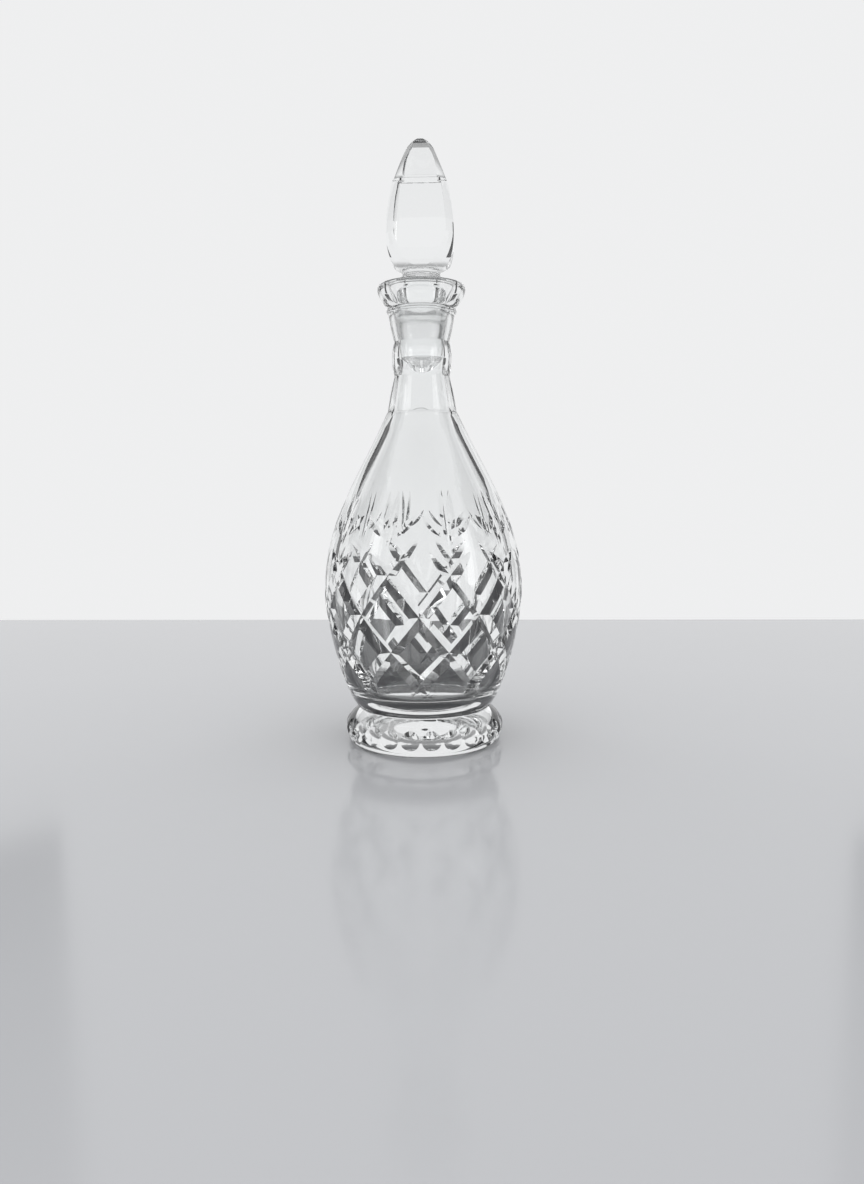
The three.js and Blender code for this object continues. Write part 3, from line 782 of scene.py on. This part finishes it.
def crystal(name):
    """Polished lead crystal with a faint ripple of hand polishing."""
    material, principled = glass(name, CRYSTAL_TINT)
    principled.inputs["Roughness"].default_value = 0.0
    nodes, links = material.node_tree.nodes, material.node_tree.links
    ripple = noise(material, RIPPLE_SCALE)
    bump = nodes.new("ShaderNodeBump")
    bump.inputs["Strength"].default_value = RIPPLE_STRENGTH
    bump.inputs["Distance"].default_value = RIPPLE_DEPTH
    links.new(ripple.outputs["Fac"], bump.inputs["Height"])
    links.new(bump.outputs["Normal"], principled.inputs["Normal"])
    return material


def ground_glass(name):
    """The frosted taper where the stopper is ground to its seat."""
    material, principled = glass(name, GROUND_TINT)
    nodes, links = material.node_tree.nodes, material.node_tree.links
    grain = noise(material, GRAIN_SCALE)
    frost = nodes.new("ShaderNodeMapRange")
    frost.inputs["To Min"].default_value = FROST_ROUGHNESS[0]
    frost.inputs["To Max"].default_value = FROST_ROUGHNESS[1]
    links.new(grain.outputs["Fac"], frost.inputs["Value"])
    links.new(frost.outputs["Result"], principled.inputs["Roughness"])
    return material


# ---- Stage, light and camera ------------------------------------------------------------------
# In metres. A black card is its name, its angle from straight behind the decanter, its width, and
# the heights of its lower and upper edges. The white card is the same without a name.

TABLE_BACK = 0.445
TABLE_FRONT = -1.6
TABLE_SIDE = 2.5
TABLE_COLOUR = (0.42, 0.425, 0.44, 1)
# The darker table copy below is painted shade: only the glass shows it, so the cut flanks look dark.
PAINTED_SHADE_TABLE_COLOUR = (0.13, 0.13, 0.14, 1)
PAINTED_SHADE_TABLE_DROP = 0.0002
TABLE_ROUGHNESS = 0.12
CARD_DISTANCE = 1.3
BLACK_CARDS = [
    ("upper_back", 45, 0.5, 0.5, 1.4), ("upper_side", 90, 0.8, 0.5, 1.4),
    ("lower_back", 48, 0.2, -1.2, 0.46), ("lower_side", 90, 0.3, -1.2, 0.46),
]
BLACK_CARD_COLOUR = (0.01, 0.01, 0.01, 1)
WHITE_CARD = (120, 0.3, 0.1, 0.9)
WHITE_CARD_STRENGTH = 1.8
SKY = [(-0.26, 0.4), (-0.17, 0.86), (0.75, 0.86), (0.9, 0.4)]   # the direction's z, and the level
LIGHT_SIZE = 3.0
LIGHT_POWER = 45.0
LIGHT_PLACE = (0, -0.3, 2.2)


def plane(name, corners, material):
    mesh = bpy.data.meshes.new(name)
    mesh.from_pydata(corners, [], [(0, 1, 2, 3)])
    mesh.materials.append(material)
    made = bpy.data.objects.new(name, mesh)
    bpy.context.scene.collection.objects.link(made)
    return made


def sheet(name, material_name, colour):
    material, principled = shader(material_name)
    principled.inputs["Base Color"].default_value = colour
    principled.inputs["Roughness"].default_value = TABLE_ROUGHNESS
    x, back, front = TABLE_SIDE, TABLE_BACK, TABLE_FRONT
    return plane(name, [(-x, front, 0), (x, front, 0), (x, back, 0), (-x, back, 0)], material)


def table():
    """A pale table top, and a darker copy just below it that only the glass shows: painted shade that
    darkens the cut flanks seen through the glass.
    """
    top = sheet("table_top", "pale_table", TABLE_COLOUR)
    top.visible_transmission = False
    # Painted shade: a darker copy of the table, hidden from the camera and seen only through the
    # glass.
    low = sheet("painted_shade_table", "painted_shade_table", PAINTED_SHADE_TABLE_COLOUR)
    low.location.z = -PAINTED_SHADE_TABLE_DROP
    low.visible_camera = False
    low.visible_diffuse = False
    low.visible_glossy = False


def upright(name, angle, width, low, high, material):
    """A card that stands at an angle from straight behind the decanter, out of the camera's sight."""
    a = math.radians(angle)
    middle = Vector((math.sin(a), math.cos(a), 0)) * CARD_DISTANCE
    half = Vector((math.cos(a), -math.sin(a), 0)) * width / 2
    low, high = Vector((0, 0, low)), Vector((0, 0, high))
    corners = [middle - half + low, middle + half + low, middle + half + high, middle - half + high]
    card = plane(name, [tuple(c) for c in corners], material)
    card.visible_camera = False
    card.visible_diffuse = False


def cards():
    """Black cards draw the dark outlines of the glass, and white ones its soft highlights."""
    black, principled = shader("black_card")
    principled.inputs["Base Color"].default_value = BLACK_CARD_COLOUR
    white, principled = shader("white_card")
    principled.inputs["Emission Color"].default_value = (1, 1, 1, 1)
    principled.inputs["Emission Strength"].default_value = WHITE_CARD_STRENGTH
    for hand, side in ((-1, "left"), (1, "right")):
        for name, angle, *extent in BLACK_CARDS:
            upright(f"black_card_{side}_{name}", hand * angle, *extent, black)
        angle, *extent = WHITE_CARD
        upright(f"white_card_{side}", hand * angle, *extent, white)


def world():
    """A bright surround that falls off to dark below the table's edge and towards the ceiling."""
    made = bpy.data.worlds.new("studio")
    bpy.context.scene.world = made
    made.use_nodes = True
    nodes, links = made.node_tree.nodes, made.node_tree.links
    place = nodes.new("ShaderNodeTexCoord")
    split = nodes.new("ShaderNodeSeparateXYZ")
    ramp = nodes.new("ShaderNodeValToRGB")
    lift = nodes.new("ShaderNodeMapRange")
    lift.inputs["From Min"].default_value = -1.0
    lift.inputs["From Max"].default_value = 1.0
    stops = ramp.color_ramp.elements
    while len(stops) < len(SKY):
        stops.new(0.5)
    for stop, (height, level) in zip(stops, SKY):
        stop.position = (height + 1) / 2
        stop.color = (level, level * 1.004, level * 1.01, 1)
    links.new(place.outputs["Generated"], split.inputs["Vector"])
    links.new(split.outputs["Z"], lift.inputs["Value"])
    links.new(lift.outputs["Result"], ramp.inputs["Fac"])
    links.new(ramp.outputs["Color"], nodes["Background"].inputs["Color"])
    bpy.context.scene.view_settings.view_transform = "Standard"


def soft_light():
    """A broad soft light overhead that lights the table; the glass does not show it."""
    data = bpy.data.lights.new("soft_light", "AREA")
    data.shape = "SQUARE"
    data.size = LIGHT_SIZE
    data.energy = LIGHT_POWER
    made = bpy.data.objects.new("soft_light", data)
    made.location = LIGHT_PLACE
    bpy.context.scene.collection.objects.link(made)
    made.visible_transmission = False
    made.visible_glossy = False


# The camera stands in front, a little to the right, and looks a little down.

CAMERA_TURN = math.radians(2.0)
CAMERA_DISTANCE = 0.504
CAMERA_SIDE = 0.0052
CAMERA_HEIGHT = 0.1461
CAMERA_DOWN = math.radians(6.97)
CAMERA_ROLL = math.radians(0.35)
CAMERA_LENS = 27.06      # for the sensor's width of 36, both in millimetres
CAMERA_SENSOR = 36.0


def camera():
    data = bpy.data.cameras.new("camera")
    data.lens = CAMERA_LENS
    data.sensor_width = CAMERA_SENSOR
    made = bpy.data.objects.new("camera", data)
    back = Vector((math.sin(CAMERA_TURN), -math.cos(CAMERA_TURN), 0)) * CAMERA_DISTANCE
    aside = Vector((math.cos(CAMERA_TURN), math.sin(CAMERA_TURN), 0)) * CAMERA_SIDE
    made.location = back + aside + Vector((0, 0, CAMERA_HEIGHT))
    made.rotation_euler = (math.pi / 2 - CAMERA_DOWN, CAMERA_ROLL, CAMERA_TURN)
    bpy.context.scene.collection.objects.link(made)
    bpy.context.scene.camera = made


GLASS_BOUNCES = 32
GLOSSY_BOUNCES = 16


def light_paths():
    """Enough bounces for a path through both walls of the bowl and its cuts."""
    cycles = bpy.context.scene.cycles
    cycles.max_bounces = GLASS_BOUNCES
    cycles.transmission_bounces = GLASS_BOUNCES
    cycles.glossy_bounces = GLOSSY_BOUNCES


# ---- The scene --------------------------------------------------------------------------------


ground = ground_glass("ground_seat")
body = decanter([crystal("body_crystal"), ground])
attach(body, "decanter")
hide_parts("decanter_body")

plug = stopper([crystal("stopper_crystal"), ground])
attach(plug, "stopper")
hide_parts("stopper")

camera()
table()
cards()
world()
soft_light()
light_paths()
